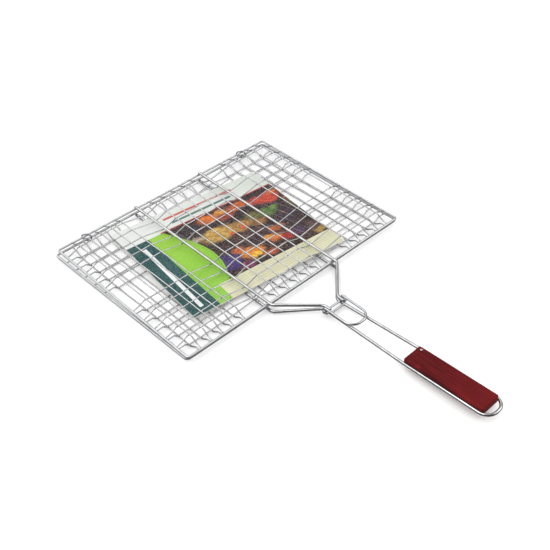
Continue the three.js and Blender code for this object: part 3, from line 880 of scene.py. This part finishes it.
def locking_bail():
    """A U of wire with an eye at each end, curled round the pivot bar."""
    top = PIVOT_Z + EYE_R
    side = []
    for k in range(30, -1, -1):
        a = math.radians(263 * k / 30)
        side.append((BAIL_X, PIVOT_Y + EYE_R * math.sin(a), PIVOT_Z + EYE_R * math.cos(a)))
    for k in range(17):
        a = math.pi / 2 * k / 16
        y = BAIL_END + BAIL_CORNER - BAIL_CORNER * math.sin(a)
        z = top + (PIVOT_Y - y) / (PIVOT_Y - BAIL_END) * (BAIL_END_Z - top)
        side.append((BAIL_X - BAIL_CORNER + BAIL_CORNER * math.cos(a), y, z))
    path = resample(np.array(mirrored(side)), 5.0)
    piece("locking_bail", [tube(path, BAIL_R, 16)], CHROME_HEAVY, "bail")


locking_bail()

# ------------------------------------------------------------------------ grip
# Built with its near-tray end at y = 0 and the rails' centre line at z = 0, then tilted.

GRIP_UP, GRIP_DOWN, GRIP_HALF_W = 6.9, 4.4, 16.1
GRIP_TILT = -math.atan(RISE)
GRIP_LENGTH = (GRIP_START - GRIP_END) / math.cos(GRIP_TILT)
GRIP_PLACE = (Matrix.Translation((0, GRIP_START, rail_z(GRIP_START)))
              @ Matrix.Rotation(GRIP_TILT, 4, "X"))
PIN_X, PIN_Y = 11.0, -344.5 - GRIP_START


def grip_block():
    """The rounded block, in fine slices and slightly uneven, so that edges catch the light."""
    low = (-GRIP_HALF_W, -GRIP_LENGTH, -GRIP_DOWN)
    high = (GRIP_HALF_W, 0, GRIP_UP)
    bm = bmesh.new()
    bmesh.ops.create_cube(bm, size=1.0)
    for v in bm.verts:
        v.co = Vector([low[k] + (v.co[k] + 0.5) * (high[k] - low[k]) for k in range(3)])
    upright = [e for e in bm.edges if abs((e.verts[0].co - e.verts[1].co).z) > 1]
    bmesh.ops.bevel(bm, geom=upright, offset=2.4, segments=7, profile=0.5, affect="EDGES")
    level = [e for e in bm.edges if abs(e.verts[0].co.z - e.verts[1].co.z) < 1e-4]
    bmesh.ops.bevel(bm, geom=level, offset=1.6, segments=6, profile=0.5, affect="EDGES")
    for k in range(1, 30):
        geom = bm.verts[:] + bm.edges[:] + bm.faces[:]
        bmesh.ops.bisect_plane(bm, geom=geom, plane_co=(0, -GRIP_LENGTH * k / 30, 0),
                               plane_no=(0, 1, 0))
    sway = wave(404, 0.10)
    for v in bm.verts:
        v.co.z += float(sway(v.co.y)) * (1 if v.co.z > 0 else -1)
        v.co.x += 0.8 * float(sway(v.co.y + 50)) * (1 if v.co.x > 0 else -1)
    mesh = bpy.data.meshes.new("grip_look")
    bm.to_mesh(mesh)
    bm.free()
    return mesh


def grip():
    """The block with a groove for the handle wire and a hole for the pin."""
    block = add_object("grip_look", grip_block())
    loop_y = (LOOP_END - GRIP_START) / math.cos(GRIP_TILT)
    loop = fillet(mirrored([(RAIL_X, 9, 0), (RAIL_X, loop_y, 0)]), LOOP_CORNER, 14)
    hole = [(PIN_X, PIN_Y, GRIP_UP - 8), (PIN_X, PIN_Y, GRIP_UP + 4)]
    cutters = []
    for name, path, radius, sides in (("groove", loop, HEAVY_R + 0.28, 28),
                                      ("pin_hole", hole, 1.5, 20)):
        shape = tube(path, radius, sides, chamfer=False)
        cutters.append(add_object(name, solid_mesh(name, *shape)))
    for cutter in cutters:
        cut = block.modifiers.new("cut", "BOOLEAN")
        cut.operation, cut.solver, cut.object = "DIFFERENCE", "EXACT", cutter
    bpy.context.view_layer.update()
    evaluated = block.evaluated_get(bpy.context.evaluated_depsgraph_get())
    mesh = bpy.data.meshes.new_from_object(evaluated)
    block.modifiers.clear()
    block.data = mesh
    for cutter in cutters:
        bpy.data.objects.remove(cutter)
    mesh.transform(Matrix.Scale(MM, 4) @ GRIP_PLACE)
    mesh.name = "grip_look"
    mesh.materials.clear()
    mesh.materials.append(WOOD)
    shade_smooth(mesh, sharp_degrees=38)
    block.modifiers.new("normals", "WEIGHTED_NORMAL").keep_sharp = True
    register(block, "grip", "tray")


grip()

# pin with a domed head: height above the grip's top, radius
PIN_PROFILE = [(-8.6, 0.01), (-8.6, 1.1), (0.25, 1.15), (0.28, 1.75), (0.42, 1.88), (0.62, 1.80),
               (0.82, 1.45), (0.96, 0.9), (1.0, 0.35), (1.0, 0.01)]


def grip_pin():
    verts, faces = revolve(PIN_PROFILE, 28)
    upright = np.roll(verts, -1, axis=1) + (PIN_X, PIN_Y, GRIP_UP)  # the X axis becomes Z
    verts = np.array([list(GRIP_PLACE @ Vector(p)) for p in upright])
    piece("grip_pin", [(verts, faces)], CHROME_PIN, "tray", sharp_degrees=50)


grip_pin()

# ------------------------------------------------------------------------ card

CARD_NX, CARD_NY = 86, 74
CARD_Z = z_range("insert_card")[0] + 0.30
CARD_HALF_T = 0.22
CARD_ROUND = 1.6
BEND_U, BEND_V = wave(300, 1.0), wave(301, 1.0)


def card_height(u, v):
    """Gentle unevenness, with two opposite corners lifted a little."""
    height = 0.16 * float(BEND_U(u * 1.4)) + 0.16 * float(BEND_V(v * 1.5 + 0.4 * u))
    corner = max(0.0, (-u - 80) / 50) * max(0.0, (v - 60) / 51)
    corner += max(0.0, (u - 92) / 38) * max(0.0, (-v - 78) / 33)
    return height + 0.75 * corner ** 1.6


def card_point(i, j, offset):
    u, v = CARD_W * (i / CARD_NX - 0.5), CARD_L * (j / CARD_NY - 0.5)
    du, dv = CARD_W / 2 - abs(u), CARD_L / 2 - abs(v)
    if du < CARD_ROUND and dv < CARD_ROUND and du + dv < CARD_ROUND:  # blunt the corner
        u -= math.copysign(0.35 * CARD_ROUND, u)
        v -= math.copysign(0.35 * CARD_ROUND, v)
    c, s = math.cos(CARD_TURN), math.sin(CARD_TURN)
    return (u * c - v * s + CARD_CENTRE[0], u * s + v * c + CARD_CENTRE[1],
            CARD_Z + card_height(u, v) + offset)


def insert_card():
    """Two layers of points: the board side below, the print above, and a cut edge between."""
    verts = [card_point(i, j, offset) for offset in (-CARD_HALF_T, CARD_HALF_T)
             for j in range(CARD_NY + 1) for i in range(CARD_NX + 1)]
    row = CARD_NX + 1
    top = row * (CARD_NY + 1)  # index of the upper layer's first point
    faces, slots = [], []
    for j in range(CARD_NY):
        for i in range(CARD_NX):
            a = j * row + i
            faces.append((a + top, a + 1 + top, a + row + 1 + top, a + row + top))
            faces.append((a, a + row, a + row + 1, a + 1))
            slots += [0, 1]
    edge = [i for i in range(row)] + [j * row + CARD_NX for j in range(1, CARD_NY + 1)]
    edge += [CARD_NY * row + i for i in range(CARD_NX - 1, -1, -1)]
    edge += [j * row for j in range(CARD_NY - 1, 0, -1)]
    for a, b in zip(edge, edge[1:] + edge[:1]):
        faces.append((a, b, b + top, a + top))
        slots.append(1)
    mesh = bpy.data.meshes.new("insert_card_look")
    mesh.from_pydata((np.array(verts) * MM).tolist(), [], faces)
    mesh.materials.append(PRINT)
    mesh.materials.append(BOARD)
    mesh.polygons.foreach_set("material_index", slots)
    shade_smooth(mesh, sharp_degrees=35)
    mesh.update()
    register(add_object("insert_card_look", mesh), "insert_card", "tray")


insert_card()

# ----------------------------------------------------------------------- stage

FLOOR_HALF, FLOOR_Z = 6, -0.0006  # metres


def pale_floor():
    m = Material("pale_floor")
    spots = m.noise(m.coord(), scale=9, detail=3)
    return m.finish(
        Base_Color=m.mix(spots, base=(0.90, 0.90, 0.90), color=(0.93, 0.93, 0.925)),
        Roughness=m.span(spots, over=(0.3, 0.7), to=(0.75, 0.9)), Specular_IOR_Level=0.15,
        Emission_Color=(1.0, 1.0, 1.0), Emission_Strength=0.10)


def stage_floor():
    material = pale_floor()
    mesh = bpy.data.meshes.new("floor")
    corners = [(x * FLOOR_HALF, y * FLOOR_HALF, FLOOR_Z)
               for x, y in ((-1, -1), (1, -1), (1, 1), (-1, 1))]
    mesh.from_pydata(corners, [], [(0, 1, 2, 3)])
    mesh.materials.append(material)
    floor = add_object("floor", mesh)
    floor.visible_glossy = False


stage_floor()

# brightness of what the plating mirrors
ROOM_DARK, ROOM_BACK, TABLE = 0.05, 0.38, 0.18
# softboxes: direction, cosines where they start and reach full strength, brightness
SOFTBOXES = [
    ((-0.05, 0.45, 0.89), (0.70, 0.90), 0.68),  # broad, overhead
    ((-0.62, 0.52, 0.60), (0.82, 0.94), 0.68),  # camera's left
    ((0.58, -0.50, 0.65), (0.86, 0.96), 1.0),  # camera's right
]


def studio():
    """Plain white light, but reflections see a shaded table below, a dark room on the camera's
    side, a grey sweep behind and three softboxes."""
    world = bpy.data.worlds.new("studio")
    SCENE.world = world
    w = Tree(world)
    out = w.new("ShaderNodeOutputWorld")
    plain = w.new("ShaderNodeBackground", {"Color": (1.0, 1.0, 1.0), "Strength": 1.05})
    mirrored_room = w.new("ShaderNodeBackground", {"Strength": 1.0})
    direction = w.new("ShaderNodeTexCoord").outputs["Generated"]
    height = w.new("ShaderNodeSeparateXYZ", {0: direction}).outputs[2]

    def facing(towards, over):
        """How far the reflected direction lies towards a lamp or card, from 0 to 1."""
        cosine = w.vector("DOT_PRODUCT", direction, tuple(Vector(towards).normalized()),
                          output="Value")
        return w.fade(cosine, over)

    below = w.fade(height, over=(0.05, -0.10))
    behind = facing((0.62, 0.72, 0.10), over=(-0.15, 0.75))
    room = w.math("MULTIPLY_ADD", behind, ROOM_BACK - ROOM_DARK, ROOM_DARK)
    total = w.new("ShaderNodeMix", {0: below, 2: room, 3: TABLE}).outputs[0]
    boxes = [(facing(towards, over), power) for towards, over, power in SOFTBOXES]
    for box, power in boxes:
        total = w.math("MULTIPLY_ADD", box, power, total)
    # very slightly blue
    tint = w.new("ShaderNodeCombineColor", {
        i: w.new("ShaderNodeMath", {0: total, 1: k}, operation="MULTIPLY").outputs[0]
        for i, k in enumerate((1.0, 1.0, 1.012))})
    w.put(mirrored_room.inputs["Color"], tint.outputs[0])
    glossy = w.new("ShaderNodeLightPath").outputs["Is Glossy Ray"]
    mixer = w.new("ShaderNodeMixShader", {
        0: glossy, 1: plain.outputs[0], 2: mirrored_room.outputs[0]})
    w.put(out.inputs[0], mixer.outputs[0])


studio()


def area(name, at, towards, size, energy, color):
    light = bpy.data.lights.new(name, "AREA")
    light.shape, light.energy, light.color = "RECTANGLE", energy, color
    light.size, light.size_y = size
    obj = add_object(name, light)
    obj.location = at
    obj.rotation_mode = "QUATERNION"
    obj.rotation_quaternion = (Vector(towards) - Vector(at)).to_track_quat("-Z", "Y")


area("key", at=(-0.9, -0.2, 1.7), towards=(0, -0.1, 0), size=(1.3, 1.3), energy=9.0,
     color=(1.0, 0.99, 0.975))
area("fill", at=(1.3, -1.2, 1.2), towards=(0, -0.15, 0), size=(1.0, 0.8), energy=2.2,
     color=(0.97, 0.985, 1.0))

# ---------------------------------------------------------------------- camera

LENS, SENSOR_W = 56.594618, 36.0  # mm
AZIMUTH, ELEVATION, ROLL = (math.radians(a) for a in (-42.897, 41.602, -1.422))
TARGET, DISTANCE = Vector((-6.808, -100.235, 0.0)) * MM, 1208.025 * MM


def add_camera():
    back = Vector((math.sin(AZIMUTH) * math.cos(ELEVATION),
                   -math.cos(AZIMUTH) * math.cos(ELEVATION), math.sin(ELEVATION)))
    right = (-back).cross(Vector((0, 0, 1))).normalized()
    up = right.cross(-back)
    rolled_right = math.cos(ROLL) * right + math.sin(ROLL) * up
    rolled_up = -math.sin(ROLL) * right + math.cos(ROLL) * up
    data = bpy.data.cameras.new("camera")
    data.sensor_fit, data.sensor_width = "HORIZONTAL", SENSOR_W
    data.lens = LENS
    data.clip_start, data.clip_end = 0.05, 50
    place = Matrix((rolled_right, rolled_up, back)).transposed().to_4x4()
    place.translation = TARGET + back * DISTANCE
    camera = add_object("camera", data)
    camera.matrix_world = place
    SCENE.camera = camera


add_camera()
SCENE.view_settings.view_transform = "Standard"
SCENE.view_settings.look = "None"
SCENE.view_settings.exposure = 0.12

# ------------------------------------------------------------------------ update

bpy.context.view_layer.update()
